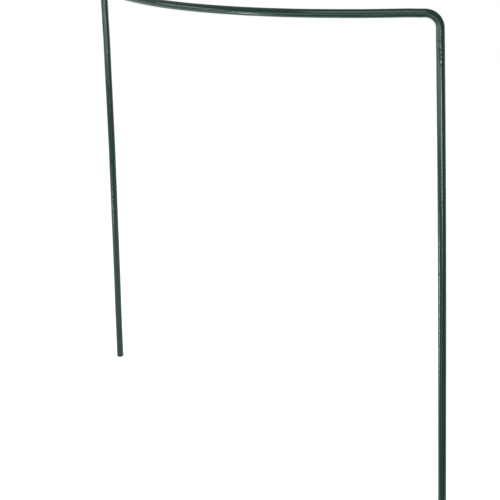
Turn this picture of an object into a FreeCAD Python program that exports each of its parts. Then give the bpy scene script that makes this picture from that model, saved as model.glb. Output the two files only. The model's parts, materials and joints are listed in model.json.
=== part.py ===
import FreeCAD, Part
import math
import os

# Bow-shaped border support: one steel wire in a green plastic coating, bent into a
# curved top bar with two legs that are pushed into the soil.
# Frame: +Z up, +X from the left leg to the right leg, -Y the way the bow bulges.
# The origin is on the soil surface, midway between the axes of the two legs.

# Driving dimensions, in millimetres and degrees
core_diameter = 4.0       # steel wire
coating_wall = 0.7        # plastic over the wire
bond_clearance = 0.01     # radial, between the wire and its coating
leg_spacing = 350.0       # between the leg axes, at the height of the bow
bow_sweep_deg = 80.0      # arc of the top bar, seen from above
forming_pin_radius = 7.0  # inside of each corner bend
leg_splay_deg = 2.7       # each leg leans out, away from the centre of the bow's arc
overall_height = 330.0    # from the tips to the top of the bow
push_in_depth = 100.0     # how far the tips go below the soil
seal_length = 2.5         # plastic over each cut end of the wire
seal_rim_radius = 0.8     # rounding of each tip's rim

# Sizes that follow from them
core_radius = core_diameter / 2
bore_radius = core_radius + bond_clearance
coated_radius = bore_radius + coating_wall
bend_radius = forming_pin_radius + coated_radius
half_sweep = math.radians(bow_sweep_deg / 2)
splay = math.radians(leg_splay_deg)
bow_height = overall_height - coated_radius - push_in_depth
bow_radius = (leg_spacing / 2 - bend_radius * math.cos(half_sweep)) / math.sin(half_sweep)

# The leg's axis and the tangent at the bow's end meet in a corner point. It stands back
# from the origin, so that the leaning leg crosses the soil surface at Y = 0.
corner_y = bow_height * math.tan(splay) * math.cos(half_sweep)
bow_end_y = corner_y - bend_radius * math.sin(half_sweep)
bow_centre_y = bow_end_y + bow_radius * math.cos(half_sweep)
corner_to_tip = (overall_height - coated_radius) / math.cos(splay)
corner_to_cut_end = corner_to_tip - seal_length


def side_directions(side):
    """At one corner (side -1 left, 1 right): outward along the bow's end, and down the leg."""
    along = FreeCAD.Vector(side * math.cos(half_sweep), math.sin(half_sweep), 0)
    outward = FreeCAD.Vector(side * math.sin(half_sweep), -math.cos(half_sweep), 0)
    down = outward * math.sin(splay) - FreeCAD.Vector(0, 0, math.cos(splay))
    return along, down


def leg_point(side, distance):
    """A point on a leg's axis, that far below its corner point."""
    along, down = side_directions(side)
    corner = FreeCAD.Vector(side * leg_spacing / 2, corner_y, bow_height)
    return corner + down * distance


def straight_leg(side):
    """A leg's axis, from the bend to the wire's cut end."""
    return Part.LineSegment(leg_point(side, bend_radius), leg_point(side, corner_to_cut_end)).toShape()


def corner_bend(side):
    """The quarter circle between the bow and a leg, tangent to both."""
    along, down = side_directions(side)
    bow_end = leg_point(side, 0) - along * bend_radius
    half_turn = math.pi / 4
    middle = bow_end + (along * math.sin(half_turn) + down * (1 - math.cos(half_turn))) * bend_radius
    return Part.Arc(bow_end, middle, leg_point(side, bend_radius)).toShape()


def bow_arc():
    """The top bar's axis: a level arc that bulges toward -Y."""
    half_width = bow_radius * math.sin(half_sweep)
    left = FreeCAD.Vector(-half_width, bow_end_y, bow_height)
    front = FreeCAD.Vector(0, bow_centre_y - bow_radius, bow_height)
    right = FreeCAD.Vector(half_width, bow_end_y, bow_height)
    return Part.Arc(left, front, right).toShape()


def wire_axis():
    """The axis of the bent wire, from the left cut end to the right one."""
    return Part.Wire([straight_leg(-1), corner_bend(-1), bow_arc(), corner_bend(1), straight_leg(1)])


def bent_rod(radius):
    """A round rod that follows the whole axis of the wire."""
    along, down = side_directions(-1)
    section = Part.Wire(Part.makeCircle(radius, leg_point(-1, corner_to_cut_end), down))
    return wire_axis().makePipe(Part.Face(section))


def core_wire():
    """The steel wire that carries the load."""
    return bent_rod(core_radius)


def plastic_coating():
    """The plastic sleeve on the wire, in one piece from cut end to cut end."""
    return bent_rod(coated_radius).cut(bent_rod(bore_radius))


def tip_seal(side):
    """A plastic seal over a cut end, flush with the coating, with a rounded rim."""
    along, down = side_directions(side)
    seal = Part.makeCylinder(coated_radius, seal_length, leg_point(side, corner_to_cut_end), down)
    tip = leg_point(side, corner_to_tip)
    rim = [edge for edge in seal.Edges if edge.CenterOfMass.distanceToPoint(tip) < bond_clearance]
    return seal.makeFillet(seal_rim_radius, rim)


parts = {
    "core_wire": core_wire(),
    "plastic_coating": plastic_coating(),
    "left_tip_seal": tip_seal(-1),
    "right_tip_seal": tip_seal(1),
}

os.makedirs("parts", exist_ok=True)
for name, shape in parts.items():
    shape.exportStep(f"parts/{name}.step")
    box = shape.optimalBoundingBox()
    print(f"{name}: {len(shape.Solids)} solid, valid {shape.isValid()}, {shape.Volume:.1f} mm3")
    print(f"    from {box.XMin:.2f} {box.YMin:.2f} {box.ZMin:.2f}")
    print(f"    to {box.XMax:.2f} {box.YMax:.2f} {box.ZMax:.2f}")

# A swept rod's volume is its section times the length of its axis.
axis_length = wire_axis().Length
core_by_section = math.pi * core_radius ** 2 * axis_length
coating_by_section = math.pi * (coated_radius ** 2 - bore_radius ** 2) * axis_length
print(f"axis {axis_length:.1f} mm, bow radius {bow_radius:.1f} mm")
print(f"straight leg {corner_to_tip - bend_radius:.2f} mm")
print(f"by section: core {core_by_section:.1f} mm3, coating {coating_by_section:.1f} mm3")
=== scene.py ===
import bpy
import json
import math
import numpy as np
from mathutils import Matrix, Vector


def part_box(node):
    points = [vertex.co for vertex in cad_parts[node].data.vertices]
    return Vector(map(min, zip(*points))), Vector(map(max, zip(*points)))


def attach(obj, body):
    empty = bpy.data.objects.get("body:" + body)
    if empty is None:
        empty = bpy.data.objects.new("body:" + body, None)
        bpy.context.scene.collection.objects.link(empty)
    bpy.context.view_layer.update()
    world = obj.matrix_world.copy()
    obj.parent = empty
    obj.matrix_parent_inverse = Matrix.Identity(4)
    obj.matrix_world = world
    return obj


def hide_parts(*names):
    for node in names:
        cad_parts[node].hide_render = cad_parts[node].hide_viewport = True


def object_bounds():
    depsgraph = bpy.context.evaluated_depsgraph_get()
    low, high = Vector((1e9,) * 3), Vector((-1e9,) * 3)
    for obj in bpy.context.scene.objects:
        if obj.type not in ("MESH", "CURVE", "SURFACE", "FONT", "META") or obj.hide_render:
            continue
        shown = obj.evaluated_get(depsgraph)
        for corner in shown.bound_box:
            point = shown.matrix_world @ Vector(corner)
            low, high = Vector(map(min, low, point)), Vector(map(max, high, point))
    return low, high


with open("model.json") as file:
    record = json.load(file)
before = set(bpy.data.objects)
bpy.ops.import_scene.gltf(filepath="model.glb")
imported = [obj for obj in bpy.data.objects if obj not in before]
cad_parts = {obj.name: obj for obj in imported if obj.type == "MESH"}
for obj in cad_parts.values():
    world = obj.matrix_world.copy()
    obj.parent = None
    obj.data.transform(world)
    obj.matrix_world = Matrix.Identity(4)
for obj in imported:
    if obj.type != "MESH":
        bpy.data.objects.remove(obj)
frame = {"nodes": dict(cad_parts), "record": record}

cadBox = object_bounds()
mm = 0.001
mounts = {mount["name"]: mount for mount in frame["record"]["mounts"]}
print("frame loaded:", sorted(frame["nodes"]))


# The wire's axis is read from the frame. A leg's mount gives its line, radius and straight
# length, and the way it leans gives the sweep of the bow. The coating's box gives the
# height, a seal's box its length and the core's box its radius.
def readWire():
    leg = mounts["right_leg"]
    down = np.array(leg["axis"])
    radius = leg["dims"]["r_mm"] * mm
    wall = leg["dims"]["length_mm"] * mm
    legStart = np.array(leg["pos_m"]) - down * wall / 2
    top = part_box("plastic_coating")[1].z
    corner = legStart + down * (top - radius - legStart[2]) / down[2]
    halfSweep = math.atan2(down[0], -down[1])
    along = np.array([math.cos(halfSweep), math.sin(halfSweep), 0])
    bendRadius = np.linalg.norm(legStart - corner)
    bowEnd = corner - along * bendRadius
    bowRadius = bowEnd[0] / math.sin(halfSweep)
    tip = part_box("right_tip_seal")[0].z
    sealLength = (corner[2] - tip) / -down[2] - bendRadius - wall
    return {
        "radius": radius, "wall": wall, "down": down, "along": along, "corner": corner,
        "halfSweep": halfSweep, "bendRadius": bendRadius, "bowEnd": bowEnd,
        "bowRadius": bowRadius, "bowLength": bowRadius * halfSweep,
        "bendLength": bendRadius * math.pi / 2, "sealLength": sealLength,
        "coreRadius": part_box("core_wire")[1].z - corner[2],
    }


wire = readWire()
cutEnd = wire["bowLength"] + wire["bendLength"] + wire["wall"]
print("wire read:", {key: np.round(value, 5).tolist() for key, value in wire.items()})

# What a real bent wire does that a drawing of it doesn't. Each leg stands back from its
# drawn line by top at the bend and tip at the ground, by bow more at its middle, and by
# sway once to each side of that. The bar droops a little where the jaws drew it in.
wander = {
    "left": {"top": -0.35 * mm, "tip": 0.15 * mm, "bow": 1.0 * mm, "sway": 0.2 * mm},
    "right": {"top": 0.45 * mm, "tip": -0.15 * mm, "bow": 0.75 * mm, "sway": 0.1 * mm},
    "droop": 0.35 * mm,
    "droopLength": 6 * mm,
    # slow waves all along it: height, length and phase
    "waves": [(0.05 * mm, 93 * mm, 2.1), (0.03 * mm, 41 * mm, 4.4)],
}


# How far back the wire stands from its drawn line. On a leg it is a straight lean from top
# to tip plus a half sine and a whole one; on the bow it grows as the square of the distance
# to the bend.
def standBack(side, run, share):
    top, tip, bow, sway = [np.where(side < 0, wander["left"][key], wander["right"][key])
                           for key in ("top", "tip", "bow", "sway")]
    swing = bow * np.sin(math.pi * share) + sway * np.sin(2 * math.pi * share)
    return top * run ** 2 + (tip - top) * share + swing


# Centre, tangent, outward normal and side normal of the wire at distances measured along
# it from the middle of the bow, positive to the right. The bow is a level arc, each bend
# a quarter circle in the plane of the bow's end and the leg, and each leg a line. The left
# half is the right half mirrored in X. The stand back, the droop and the slow waves, which
# fade out at the tips, are added on top.
def wireAxis(distance):
    side = np.where(distance < 0, -1.0, 1.0)
    reach = np.abs(distance)
    turn = np.minimum(reach, wire["bowLength"]) / wire["bowRadius"]
    dip = np.clip(reach - wire["bowLength"], 0, wire["bendLength"]) / wire["bendRadius"]
    drop = np.maximum(reach - wire["bowLength"] - wire["bendLength"], 0)
    centreY = wire["bowEnd"][1] + wire["bowRadius"] * math.cos(wire["halfSweep"])
    level = np.zeros_like(turn)
    bow = np.stack([wire["bowRadius"] * np.sin(turn),
                    centreY - wire["bowRadius"] * np.cos(turn),
                    level + wire["corner"][2]], axis=1)
    bend = np.outer(np.sin(dip), wire["along"]) + np.outer(1 - np.cos(dip), wire["down"])
    centre = bow + bend * wire["bendRadius"] + np.outer(drop, wire["down"])
    bowTangent = np.stack([np.cos(turn), np.sin(turn), level], axis=1)
    tangent = bowTangent * np.cos(dip)[:, None] + np.outer(np.sin(dip), wire["down"])
    outward = np.stack([np.sin(turn), -np.cos(turn), level], axis=1)
    # on the legs the outward normal tilts with the splay, so it stays square to the tangent
    outward -= tangent * np.sum(outward * tangent, axis=1)[:, None]
    outward /= np.linalg.norm(outward, axis=1)[:, None]
    mirror = np.stack([side, np.ones_like(side), np.ones_like(side)], axis=1)
    centre, outward = centre * mirror, outward * mirror
    tangent = tangent * mirror * side[:, None]
    sideways = np.cross(tangent, outward)
    run = np.minimum(reach / (wire["bowLength"] + wire["bendLength"]), 1)
    share = drop / (wire["wall"] + wire["sealLength"])
    centre[:, 1] += standBack(side, run, share)
    nearBend = (reach - wire["bowLength"]) / wander["droopLength"]
    centre[:, 2] -= wander["droop"] * np.exp(-nearBend ** 2)
    fade = 1 - np.clip(share, 0, 1) ** 4
    for size, length, phase in wander["waves"]:
        swing = size * fade * np.sin(2 * math.pi * distance / length + phase)
        centre += outward * swing[:, None]
    return centre, tangent, outward, sideways


sharpTurn = math.radians(50)      # faces that meet at more than this keep a sharp edge


# A closed tube from rings of points, each the same number of columns. Column by column the
# rings close on themselves; the last ring joins the first, or each end closes on a pole.
def tubeMesh(name, rings, poles=None):
    rows, columns = rings.shape[:2]
    index = np.arange(rows * columns).reshape(rows, columns)
    if poles is None:
        index = np.vstack([index, index[:1]])
    nextColumn = np.roll(index, -1, axis=1)
    quads = np.stack([index[:-1], nextColumn[:-1], nextColumn[1:], index[1:]], axis=-1)
    faces = quads.reshape(-1, 4).tolist()
    points = rings.reshape(-1, 3)
    if poles is not None:
        first, last = rows * columns, rows * columns + 1
        startFan = np.stack([np.full(columns, first), nextColumn[0], index[0]], axis=-1)
        endFan = np.stack([np.full(columns, last), index[-1], nextColumn[-1]], axis=-1)
        faces += startFan.tolist() + endFan.tolist()
        points = np.vstack([points, poles])
    mesh = bpy.data.meshes.new(name)
    mesh.from_pydata(points.tolist(), [], faces)
    mesh.polygons.foreach_set("use_smooth", [True] * len(mesh.polygons))
    mesh.set_sharp_from_angle(angle=sharpTurn)
    mesh.update()
    piece = bpy.data.objects.new(name, mesh)
    bpy.context.scene.collection.objects.link(piece)
    return piece


# One number or vector per point, under a name that the materials read.
def pointValues(piece, name, kind, values):
    layer = piece.data.attributes.new(name, kind, "POINT")
    field = "vector" if kind == "FLOAT_VECTOR" else "value"
    layer.data.foreach_set(field, np.ascontiguousarray(values, dtype=np.float32).ravel())


coating = {
    "columns": 72,
    "bowStep": 1.5 * mm,        # distance between rings on the bow
    "bendStep": 0.3 * mm,
    "gripStep": 0.25 * mm,
    "legStep": 1.5 * mm,
    "boreStep": 6.0 * mm,
    "boreBendStep": 1.5 * mm,
    "boreGap": 0.01 * mm,
    "wallRipple": 0.02 * mm,    # the extruded wall is never quite even
    "longRipple": 71 * mm,      # length of its long ripple
    "shortRipple": 23 * mm,     # length of its short one, half as high
    "gripStart": 10 * mm,       # where the bending jaws held each leg, from its bend
    "gripLength": 10 * mm,
    "gripDepth": 0.04 * mm,
    "gripFade": 3 * mm,         # over which the jaws' marks start and stop
    "gripWave": 8.7 * mm,       # length of the jaws' waves
    "bunchWave": 21 * mm,       # length over which they bunch and spread
    "bunching": 1.3,            # how far that shifts them, in radians
    "fineWave": 3.1 * mm,       # length of the fine waves on top
    "fineShare": 0.6,           # height of those, as a share of the jaws' waves
    "gripFace": 0.6,            # angle at which the waves are deepest
    "leftLower": 1.1,           # the left leg's nicks are this many times as far down it
    # nicks from the jaws' teeth: distance from the bend, angle from the front, width and
    # depth, where a depth below zero is a burr
    "nicks": [(6.7 * mm, 0.18, 0.6 * mm, 0.08 * mm), (12.1 * mm, 0.22, 0.6 * mm, 0.13 * mm),
              (13.5 * mm, 0.20, 0.5 * mm, -0.06 * mm), (14.8 * mm, 0.10, 0.8 * mm, 0.16 * mm),
              (17.3 * mm, 0.18, 0.9 * mm, 0.13 * mm), (20.0 * mm, -0.10, 0.7 * mm, 0.13 * mm)],
    "bendMargin": 2 * mm,       # how far past a bend its flat and pleats reach
    "bendFade": 4 * mm,         # length over which they fade
    "strainMargin": 3 * mm,     # how far past a bend the plastic is stretched
    "strainFade": 6 * mm,
    "bendFlat": 0.10 * mm,      # the outside of each bend is drawn thin
    "bendPleat": 0.03 * mm,     # the inside of each bend is crowded into pleats
    "pleatPitch": 1.6 * mm,
    "pleatReach": 0.45,         # how far round from the inside they go, as a sine
}


# Distances of the rings along the wire, the same on both halves: close together at the
# bend and where the jaws held it.
def ringDistances(bowStep, bendStep, gripStep, legStep):
    bendStart, bendEnd = wire["bowLength"], wire["bowLength"] + wire["bendLength"]
    gripEnd = bendEnd + coating["gripStart"] + coating["gripLength"]
    spans = [(0, bendStart, bowStep), (bendStart, bendEnd, bendStep),
             (bendEnd, gripEnd, gripStep), (gripEnd, cutEnd, legStep)]
    half = np.concatenate([np.linspace(low, high, max(2, round((high - low) / step) + 1))[1:]
                           for low, high, step in spans])
    return np.concatenate([-half[::-1], [0], half])


# Smooth step up and down again between two distances.
def window(value, low, high, soft):
    rise = np.clip((value - low) / soft, 0, 1)
    fall = np.clip((high - value) / soft, 0, 1)
    return (rise * rise * (3 - 2 * rise)) * (fall * fall * (3 - 2 * fall))


# Height of the coating's skin over its nominal radius, by distance along the wire and
# angle round it: slow ripples, a flat on the outside of each bend, pleats on its inside,
# and where the jaws gripped the leg, shallow waves. Each nick is a bell-shaped dent.
def skinRelief(distance, angle):
    reach = np.abs(distance)[:, None]
    turns = 2 * math.pi * distance[:, None]
    slow = np.sin(turns / coating["longRipple"]) * np.cos(angle)
    quick = np.sin(turns / coating["shortRipple"] + 1) / 2
    relief = coating["wallRipple"] * (slow + quick)
    bendStart = wire["bowLength"]
    bendEnd = bendStart + wire["bendLength"]
    margin = coating["bendMargin"]
    inBend = window(reach, bendStart - margin, bendEnd + margin, coating["bendFade"])
    # the side normal points up on the bow, to the outside of each bend
    outside = np.clip(np.sin(angle), 0, 1) ** 2
    inside = np.maximum(coating["pleatReach"] - np.sin(angle), 0) / (coating["pleatReach"] + 1)
    relief = relief - coating["bendFlat"] * inBend * outside
    pleats = np.cos(2 * math.pi * (reach - bendStart) / coating["pleatPitch"])
    relief = relief + coating["bendPleat"] * inBend * inside * pleats
    gripStart = bendEnd + coating["gripStart"]
    inGrip = window(reach, gripStart, gripStart + coating["gripLength"], coating["gripFade"])
    along = 2 * math.pi * (reach - gripStart)
    bunched = coating["bunching"] * np.sin(along / coating["bunchWave"])
    fine = coating["fineShare"] * np.sin(along / coating["fineWave"] + 2 * angle)
    teeth = np.sin(along / coating["gripWave"] + bunched) + fine
    face = 0.5 + 0.5 * np.cos(angle - coating["gripFace"])
    relief = relief - coating["gripDepth"] * inGrip * face * np.clip(teeth, 0, 2) / 2
    # the left leg's nicks lie mirrored, and a little further from the bend
    side = np.sign(distance)[:, None]
    for place, turn, width, depth in coating["nicks"]:
        down = reach - bendEnd - place * np.where(side > 0, 1, coating["leftLower"])
        across = wire["radius"] * np.sin(angle - side * turn)
        facing = np.cos(angle - side * turn) > 0
        relief = relief - depth * facing * np.exp(-(down ** 2 + across ** 2) / width ** 2)
    return relief


# The plastic: the wire's circle with the skin's relief outside and a plain bore inside,
# joined at the cut ends. It keeps three values for its material: where a point would lie
# on a straight wire, how far the bend stretched it, and how much the jaws rubbed it.
def makeCoating():
    columns = coating["columns"]
    angle = np.linspace(0, 2 * math.pi, columns, endpoint=False)[None, :]
    outer = ringDistances(coating["bowStep"], coating["bendStep"], coating["gripStep"],
                          coating["legStep"])
    inner = ringDistances(coating["boreStep"], coating["boreBendStep"], coating["boreStep"],
                          coating["boreStep"])[::-1]
    distance = np.concatenate([outer, inner])
    bore = np.full((len(inner), columns), wire["coreRadius"] + coating["boreGap"])
    height = np.vstack([wire["radius"] + skinRelief(outer, angle), bore])
    centre, _, outward, sideways = wireAxis(distance)
    ray = np.cos(angle)[..., None] * outward[:, None] + np.sin(angle)[..., None] * sideways[:, None]
    piece = tubeMesh("coatingSkin", centre[:, None] + ray * height[..., None])
    straight = np.stack([distance[:, None] + np.zeros_like(height),
                         height * np.cos(angle), height * np.sin(angle)], axis=-1)
    pointValues(piece, "straight", "FLOAT_VECTOR", straight)
    reach = np.abs(distance)[:, None]
    bendEnd = wire["bowLength"] + wire["bendLength"]
    margin = coating["strainMargin"]
    strain = window(reach, wire["bowLength"] - margin, bendEnd + margin, coating["strainFade"])
    pointValues(piece, "strain", "FLOAT", strain * np.clip(np.sin(angle), 0, 1))
    gripStart = bendEnd + coating["gripStart"]
    rubbed = window(reach, gripStart, gripStart + coating["gripLength"], coating["gripFade"])
    pointValues(piece, "rubbed", "FLOAT", rubbed * np.ones_like(height))
    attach(piece, "root")
    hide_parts("plastic_coating")
    return piece


coatingSkin = makeCoating()
print("coating made:", len(coatingSkin.data.polygons), "faces")

core = {
    "columns": 32,
    "step": 4.0 * mm,           # distance between rings on the straight runs
    "bendStep": 0.8 * mm,
}


# The steel wire inside, on the same wandering axis: a circle carried along it, with flat
# sheared ends.
def makeCore():
    angle = np.linspace(0, 2 * math.pi, core["columns"], endpoint=False)[None, :]
    distance = ringDistances(core["step"], core["bendStep"], core["step"], core["step"])
    centre, _, outward, sideways = wireAxis(distance)
    ray = np.cos(angle)[..., None] * outward[:, None] + np.sin(angle)[..., None] * sideways[:, None]
    rings = centre[:, None] + ray * wire["coreRadius"]
    piece = tubeMesh("steelCore", rings, np.vstack([centre[0], centre[-1]]))
    across = wire["coreRadius"] * np.stack([np.cos(angle[0]), np.sin(angle[0])], axis=-1)
    straight = np.concatenate([np.broadcast_to(distance[:, None, None], (*rings.shape[:2], 1)),
                               np.broadcast_to(across, (*rings.shape[:2], 2))], axis=-1)
    ends = np.array([[distance[0], 0, 0], [distance[-1], 0, 0]])
    pointValues(piece, "straight", "FLOAT_VECTOR", np.vstack([straight.reshape(-1, 3), ends]))
    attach(piece, "root")
    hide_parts("core_wire")
    return piece


steelCore = makeCore()
print("core made:", len(steelCore.data.polygons), "faces")

seal = {
    "columns": 48,
    "rim": 0.8 * mm,            # rounding of the rim
    "dome": 0.22 * mm,          # the plastic drew up to a slight dome as it set
    "slant": math.radians(4),   # the wire was sheared a little off square
    "slantFrom": 0.8,           # the end stands out most at minus this angle
    "rimRings": 9,
    "startRing": 0.5,           # size of the ring on the cut end, as a share of the radius
    "endRings": (0.85, 0.65, 0.4, 0.15),    # of those on the dome, as shares of its flat
}


# A seal is a profile turned round the wire's axis: out along the cut end, down the side,
# a quarter circle at the rim and a low dome to the pole. A small shear slants its end.
def makeSeal(name, side, node):
    columns = seal["columns"]
    angle = np.linspace(0, 2 * math.pi, columns, endpoint=False)[None, :]
    radius, length, rim = wire["radius"], wire["sealLength"], seal["rim"]
    quarter = np.linspace(0, math.pi / 2, seal["rimRings"])
    inward = np.array(seal["endRings"])
    flat = radius - rim
    across = np.concatenate([[seal["startRing"] * radius, radius, radius],
                             flat + rim * np.cos(quarter), flat * inward])
    depth = np.concatenate([[0, 0, (length - rim) / 2], length - rim + rim * np.sin(quarter),
                            np.full(len(inward), length)])
    # a little over the flat, so that the rim's last ring counts too
    onDome = (depth > length - rim) & (across < flat * 1.001)
    depth = depth + seal["dome"] * onDome * (1 - (across / radius) ** 2)
    slope = math.tan(seal["slant"]) * np.clip(depth / length, 0, 1) ** 2
    down = depth[:, None] + slope[:, None] * across[:, None] * np.cos(angle + seal["slantFrom"])
    down = np.minimum(down, length)
    centre, tangent, outward, sideways = wireAxis(np.array([side * cutEnd]))
    ray = np.cos(angle)[..., None] * outward + np.sin(angle)[..., None] * sideways
    rings = centre + ray * across[:, None, None] + tangent * side * down[..., None]
    poles = np.vstack([centre, centre + tangent * side * length])
    if side < 0:
        rings = rings[:, ::-1]
    piece = tubeMesh(name, rings, poles)
    straight = np.stack([side * (cutEnd + down), across[:, None] * np.cos(angle),
                         across[:, None] * np.sin(angle)], axis=-1).reshape(-1, 3)
    ends = np.array([[side * cutEnd, 0, 0], [side * (cutEnd + length), 0, 0]])
    pointValues(piece, "straight", "FLOAT_VECTOR", np.vstack([straight, ends]))
    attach(piece, "root")
    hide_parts(node)
    return piece


leftSeal = makeSeal("leftSeal", -1, "left_tip_seal")
rightSeal = makeSeal("rightSeal", 1, "right_tip_seal")
print("seals made")


# sRGB hex colour to the linear values that shaders take.
def hexColour(code):
    channels = [int(code[start:start + 2], 16) / 255 for start in (1, 3, 5)]
    linear = [value / 12.92 if value <= 0.04045 else ((value + 0.055) / 1.055) ** 2.4
              for value in channels]
    return linear + [1.0]


# Adds one node, with its settings and its inputs: a value, or another node's output.
def addNode(tree, kind, settings=None, inputs=None):
    node = tree.nodes.new(kind)
    for key, value in (settings or {}).items():
        setattr(node, key, value)
    for key, value in (inputs or {}).items():
        if isinstance(value, bpy.types.NodeSocket):
            tree.links.new(value, node.inputs[key])
        else:
            node.inputs[key].default_value = value
    return node


# An empty material and its node tree.
def newMaterial(name):
    material = bpy.data.materials.new(name)
    material.use_nodes = True
    material.node_tree.nodes.clear()
    return material, material.node_tree


softPvc = {
    "base": "#0a2319",
    "pale": "#0f2b20",
    "highlight": "#dffff5",     # the skin's reflections are a little green
    "roughness": 0.18,
    "ior": 1.50,                # plasticiser brings it down from hard PVC's 1.53
    "drawLine": 0.25 * mm,      # width of a draw line left by the extruder's die
    "lineSquash": 0.02,         # its width as a share of its length
    "peel": 0.9 * mm,           # size of the skin's fine unevenness
    "relief": 0.0005 * mm,      # height of the draw lines
    "peelShare": 0.5,           # height of the unevenness, as a share of theirs
    "mottle": 14 * mm,          # size of the patches of base and pale
    "bloom": "#3b5a4e",
    "bloomShare": 0.35,         # how far the colour goes over to bloom where strain is 1
    "scuff": 1.6 * mm,          # size of the dull patches where the jaws rubbed
    "fullScuff": 0.6,           # noise level at which a patch is fully worn
    "wornRoughness": 0.20,
}


# Soft PVC, extruded on the wire: dark green all through, semi-gloss, with fine draw lines
# that stretch its highlights along the wire and a slight bloom where it is strained.
def makeSoftPvc():
    material, tree = newMaterial("extrudedSoftPvc")
    straight = addNode(tree, "ShaderNodeAttribute", {"attribute_name": "straight"}).outputs["Vector"]
    stretch = addNode(tree, "ShaderNodeMapping", {"vector_type": "POINT"},
                      {"Vector": straight, "Scale": (softPvc["lineSquash"], 1, 1)}).outputs["Vector"]
    lines = addNode(tree, "ShaderNodeTexNoise", {},
                    {"Vector": stretch, "Scale": 1 / softPvc["drawLine"], "Detail": 2.0}).outputs["Fac"]
    peel = addNode(tree, "ShaderNodeTexNoise", {},
                   {"Vector": straight, "Scale": 1 / softPvc["peel"], "Detail": 3.0}).outputs["Fac"]
    mottle = addNode(tree, "ShaderNodeTexNoise", {},
                     {"Vector": straight, "Scale": 1 / softPvc["mottle"], "Detail": 4.0}).outputs["Fac"]
    colour = addNode(tree, "ShaderNodeMix", {"data_type": "RGBA"},
                     {"Factor": mottle, "A": hexColour(softPvc["base"]),
                      "B": hexColour(softPvc["pale"])}).outputs["Result"]
    # stretched plastic blooms pale on the outside of a bend
    strain = addNode(tree, "ShaderNodeAttribute", {"attribute_name": "strain"}).outputs["Fac"]
    bloom = addNode(tree, "ShaderNodeMath", {"operation": "MULTIPLY"},
                    {0: strain, 1: softPvc["bloomShare"]}).outputs["Value"]
    colour = addNode(tree, "ShaderNodeMix", {"data_type": "RGBA"},
                     {"Factor": bloom, "A": colour, "B": hexColour(softPvc["bloom"])}).outputs["Result"]
    # the jaws left the skin duller
    rubbed = addNode(tree, "ShaderNodeAttribute", {"attribute_name": "rubbed"}).outputs["Fac"]
    scuffs = addNode(tree, "ShaderNodeTexNoise", {},
                     {"Vector": straight, "Scale": 1 / softPvc["scuff"], "Detail": 3.0}).outputs["Fac"]
    worn = addNode(tree, "ShaderNodeMath", {"operation": "MULTIPLY"},
                   {0: rubbed, 1: scuffs}).outputs["Value"]
    roughness = addNode(tree, "ShaderNodeMapRange", {}, {
        "Value": worn, "From Min": 0.0, "From Max": softPvc["fullScuff"],
        "To Min": softPvc["roughness"], "To Max": softPvc["wornRoughness"]}).outputs["Result"]
    relief = addNode(tree, "ShaderNodeMath", {"operation": "MULTIPLY_ADD"},
                     {0: peel, 1: softPvc["peelShare"], 2: lines}).outputs["Value"]
    normal = addNode(tree, "ShaderNodeBump", {},
                     {"Height": relief, "Distance": softPvc["relief"]}).outputs["Normal"]
    shader = addNode(tree, "ShaderNodeBsdfPrincipled", {}, {
        "Base Color": colour, "Roughness": roughness, "IOR": softPvc["ior"],
        "Specular Tint": hexColour(softPvc["highlight"]), "Normal": normal})
    addNode(tree, "ShaderNodeOutputMaterial", {}, {"Surface": shader.outputs["BSDF"]})
    return material


pvc = makeSoftPvc()
for piece in (coatingSkin, leftSeal, rightSeal):
    piece.data.materials.append(pvc)

drawnSteel = {
    "colour": "#8d8c88",
    "roughness": 0.35,
    "drawLine": 0.12 * mm,      # width of a line left by the drawing die
    "lineSquash": 0.02,         # its width as a share of its length
    "relief": 0.004 * mm,       # its depth
}


# Mild steel wire, cold drawn: grey metal with fine lines along it from the drawing die.
def makeDrawnSteel():
    material, tree = newMaterial("drawnSteelWire")
    straight = addNode(tree, "ShaderNodeAttribute", {"attribute_name": "straight"}).outputs["Vector"]
    stretch = addNode(tree, "ShaderNodeMapping", {"vector_type": "POINT"},
                      {"Vector": straight, "Scale": (drawnSteel["lineSquash"], 1, 1)}).outputs["Vector"]
    lines = addNode(tree, "ShaderNodeTexNoise", {},
                    {"Vector": stretch, "Scale": 1 / drawnSteel["drawLine"], "Detail": 2.0}).outputs["Fac"]
    normal = addNode(tree, "ShaderNodeBump", {},
                     {"Height": lines, "Distance": drawnSteel["relief"]}).outputs["Normal"]
    shader = addNode(tree, "ShaderNodeBsdfPrincipled", {}, {
        "Base Color": hexColour(drawnSteel["colour"]), "Metallic": 1.0,
        "Roughness": drawnSteel["roughness"], "Normal": normal})
    addNode(tree, "ShaderNodeOutputMaterial", {}, {"Surface": shader.outputs["BSDF"]})
    return material


steelCore.data.materials.append(makeDrawnSteel())
print("materials made")

studio = {
    "floorReach": 6.0,          # to the sides and behind
    "floorFront": 0.155,        # how far the table goes on in front of the support
    "turn": math.radians(50),   # of the table's front edge, anticlockwise seen from above
    "floorColour": "#f4f4f4",
    "floorGlow": 0.54,          # lifts the table to white where it is seen or mirrored
    "worldStrength": 0.5,       # the room past the table
}


# One for rays from the camera and for those that a glossy or clear surface sends on.
def seenDirectly(tree):
    path = addNode(tree, "ShaderNodeLightPath")
    seen = addNode(tree, "ShaderNodeMath", {"operation": "MAXIMUM"},
                   {0: path.outputs["Is Camera Ray"], 1: path.outputs["Is Glossy Ray"]}).outputs["Value"]
    return addNode(tree, "ShaderNodeMath", {"operation": "MAXIMUM"},
                   {0: seen, 1: path.outputs["Is Transmission Ray"]}).outputs["Value"]


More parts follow.
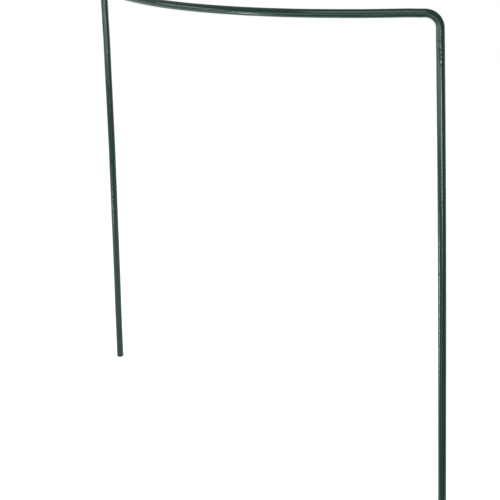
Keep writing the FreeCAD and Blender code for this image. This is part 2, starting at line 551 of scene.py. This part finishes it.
# The table: a level rectangle under the tips, long to the sides and behind, cut off in
# front and turned. Its matt white paint has a glow that only seenDirectly's rays meet, so
# it looks white, in the wire's reflections too, and adds no diffuse light.
def makeFloor():
    reach, front, turn = studio["floorReach"], studio["floorFront"], studio["turn"]
    height = min(cadBox[0][2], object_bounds()[0][2])
    mesh = bpy.data.meshes.new("studioFloor")
    across = Vector((math.cos(turn), math.sin(turn), 0))
    back = Vector((-math.sin(turn), math.cos(turn), 0))
    level = Vector((0, 0, height))
    corners = [level - across * reach - back * front, level + across * reach - back * front,
               level + across * reach + back * reach, level - across * reach + back * reach]
    mesh.from_pydata(corners, [], [(0, 1, 2, 3)])
    floor = bpy.data.objects.new("studioFloor", mesh)
    bpy.context.scene.collection.objects.link(floor)
    material, tree = newMaterial("paintedSweep")
    paint = addNode(tree, "ShaderNodeBsdfDiffuse", {},
                    {"Color": hexColour(studio["floorColour"])}).outputs["BSDF"]
    glow = addNode(tree, "ShaderNodeEmission", {}, {"Strength": studio["floorGlow"]}).outputs["Emission"]
    lit = addNode(tree, "ShaderNodeAddShader", {}, {0: paint, 1: glow}).outputs["Shader"]
    mixed = addNode(tree, "ShaderNodeMixShader", {},
                    {0: seenDirectly(tree), 1: paint, 2: lit}).outputs["Shader"]
    addNode(tree, "ShaderNodeOutputMaterial", {}, {"Surface": mixed})
    floor.data.materials.append(material)


# The room: an even light from every side, which looks grey past the table.
def makeWorld():
    world = bpy.data.worlds.new("studioWorld")
    bpy.context.scene.world = world
    world.use_nodes = True
    tree = world.node_tree
    tree.nodes.clear()
    room = addNode(tree, "ShaderNodeBackground", {},
                   {"Color": (1, 1, 1, 1), "Strength": studio["worldStrength"]}).outputs["Background"]
    addNode(tree, "ShaderNodeOutputWorld", {}, {"Surface": room})


makeFloor()
makeWorld()

# Soft boxes round the support, each facing its middle. Azimuth is from the back, clockwise
# seen from above, and height is of the box's middle over the soil line. An upright wire
# mirrors a box beside the camera at half its height and half the camera's together, so
# the strips hang low: one for the upper half of each leg, one for the lower half.
lamps = {
    "overheadBox": {
        "azimuth": 150, "distance": 0.6, "height": 0.8, "wide": 0.6, "tall": 0.6, "power": 2.5},
    "frontPanel": {
        "azimuth": 145, "distance": 1.2, "height": 0.05, "wide": 0.8, "tall": 0.25, "power": 1.5},
    "upperStrip": {
        "azimuth": 122, "distance": 0.9, "height": 0.02, "wide": 0.12, "tall": 0.2, "power": 1.6},
    "lowerStrip": {
        "azimuth": 150, "distance": 0.85, "height": -0.25, "wide": 0.1, "tall": 0.2, "power": 0.2},
    "leftBox": {
        "azimuth": 185, "distance": 0.6, "height": 0.12, "wide": 0.6, "tall": 0.15, "power": 0.9},
    "sideBox": {
        "azimuth": 220, "distance": 0.6, "height": 0.35, "wide": 0.3, "tall": 0.1, "power": 0.5},
    "edgeBox": {
        "azimuth": 200, "distance": 0.5, "height": -0.15, "wide": 0.08, "tall": 0.15, "power": 1.2},
}
aim = Vector((0, 0, 0.1))         # the middle of the support


# Each lamp stands at its azimuth, distance and height, turned to aim, and isn't seen itself.
def makeLamps():
    for name, facts in lamps.items():
        azimuth = math.radians(facts["azimuth"])
        place = Vector((math.sin(azimuth), math.cos(azimuth), 0)) * facts["distance"]
        place.z = facts["height"]
        light = bpy.data.lights.new(name, "AREA")
        light.shape = "RECTANGLE"
        light.size, light.size_y = facts["wide"], facts["tall"]
        light.energy = facts["power"]
        lamp = bpy.data.objects.new(name, light)
        bpy.context.scene.collection.objects.link(lamp)
        lamp.location = place
        lamp.rotation_euler = (place - aim).to_track_quat("Z", "Y").to_euler()
        lamp.visible_camera = False


makeLamps()
print("studio made")

# The camera looks down on the support from the front right, and is turned a little about
# its own line of sight.
viewpoint = {
    "place": (0.691, -0.579, 0.3535),
    "azimuth": math.radians(50.2),
    "below": math.radians(19.2),
    "roll": math.radians(3.3),
    "lens": 93.3,
}


# The line of sight points along the azimuth and dips below the level; roll turns the
# camera's right and up about it.
def makeCamera():
    azimuth, below, roll = viewpoint["azimuth"], viewpoint["below"], viewpoint["roll"]
    ahead = Vector((-math.sin(azimuth), math.cos(azimuth), 0))
    forward = ahead * math.cos(below) - Vector((0, 0, math.sin(below)))
    right = Vector((math.cos(azimuth), math.sin(azimuth), 0))
    up = right.cross(forward)
    tiltedRight = right * math.cos(roll) - up * math.sin(roll)
    tiltedUp = up * math.cos(roll) + right * math.sin(roll)
    data = bpy.data.cameras.new("productCamera")
    data.lens = viewpoint["lens"]
    camera = bpy.data.objects.new("productCamera", data)
    bpy.context.scene.collection.objects.link(camera)
    turn = Matrix((tiltedRight, tiltedUp, -forward)).transposed()
    camera.matrix_world = Matrix.Translation(Vector(viewpoint["place"])) @ turn.to_4x4()
    bpy.context.scene.camera = camera


makeCamera()
bpy.context.scene.view_settings.view_transform = "Standard"
print("camera made")
